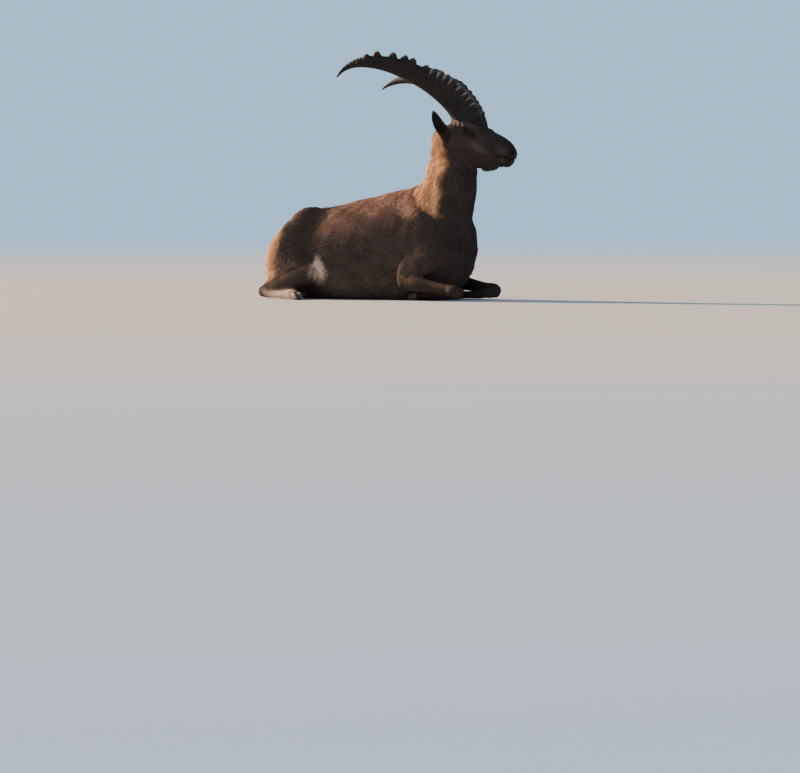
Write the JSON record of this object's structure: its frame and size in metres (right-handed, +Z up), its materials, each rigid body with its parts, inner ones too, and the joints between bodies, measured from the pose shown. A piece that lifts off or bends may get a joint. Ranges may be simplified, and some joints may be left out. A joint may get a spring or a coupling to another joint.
{
  "type": "lying alpine ibex",
  "caption": "Life-size alpine ibex male lying with legs folded and head raised, with long back-swept knobbed horns; rests on its belly, legs and hooves.",
  "frame": {"origin": "on the floor, under the middle of the bounding box", "axes": "+X from the rump towards the head, +Y to the animal's left, +Z up"},
  "size_m": [1.0586, 0.6118, 0.9103],
  "materials": {
    "coat": "matte, coarse brown hair",
    "dark_coat": "matte, short dark hair",
    "horn": "satin, ridged keratin",
    "claw": "satin keratin",
    "eye": "wet and glossy"
  },
  "bodies": {
    "root": {"eye_right": "eye", "eye_left": "eye", "head": "coat", "hind_cannon_right": "dark_coat", "thigh_right": "coat", "shank_right": "coat", "shoulder_right": "coat", "upper_arm_right": "coat", "forearm_right": "coat", "knee_right": "dark_coat", "fore_cannon_right": "dark_coat", "fore_pastern_right": "dark_coat", "hind_pastern_right": "dark_coat", "fore_claw_outer_right": "claw", "hind_claw_outer_right": "claw", "fore_claw_inner_right": "claw", "hind_claw_inner_right": "claw", "hind_cannon_left": "dark_coat", "thigh_left": "coat", "shank_left": "coat", "shoulder_left": "coat", "upper_arm_left": "coat", "forearm_left": "coat", "knee_left": "dark_coat", "fore_cannon_left": "dark_coat", "fore_pastern_left": "dark_coat", "hind_pastern_left": "dark_coat", "fore_claw_outer_left": "claw", "hind_claw_outer_left": "claw", "fore_claw_inner_left": "claw", "hind_claw_inner_left": "claw", "neck": "coat", "tail": "dark_coat", "horn_right": "horn", "ear_right": "coat", "horn_left": "horn", "ear_left": "coat", "lower_jaw": "coat", "chest": "coat", "belly": "coat", "rump": "coat"}
  },
  "joints": []
}
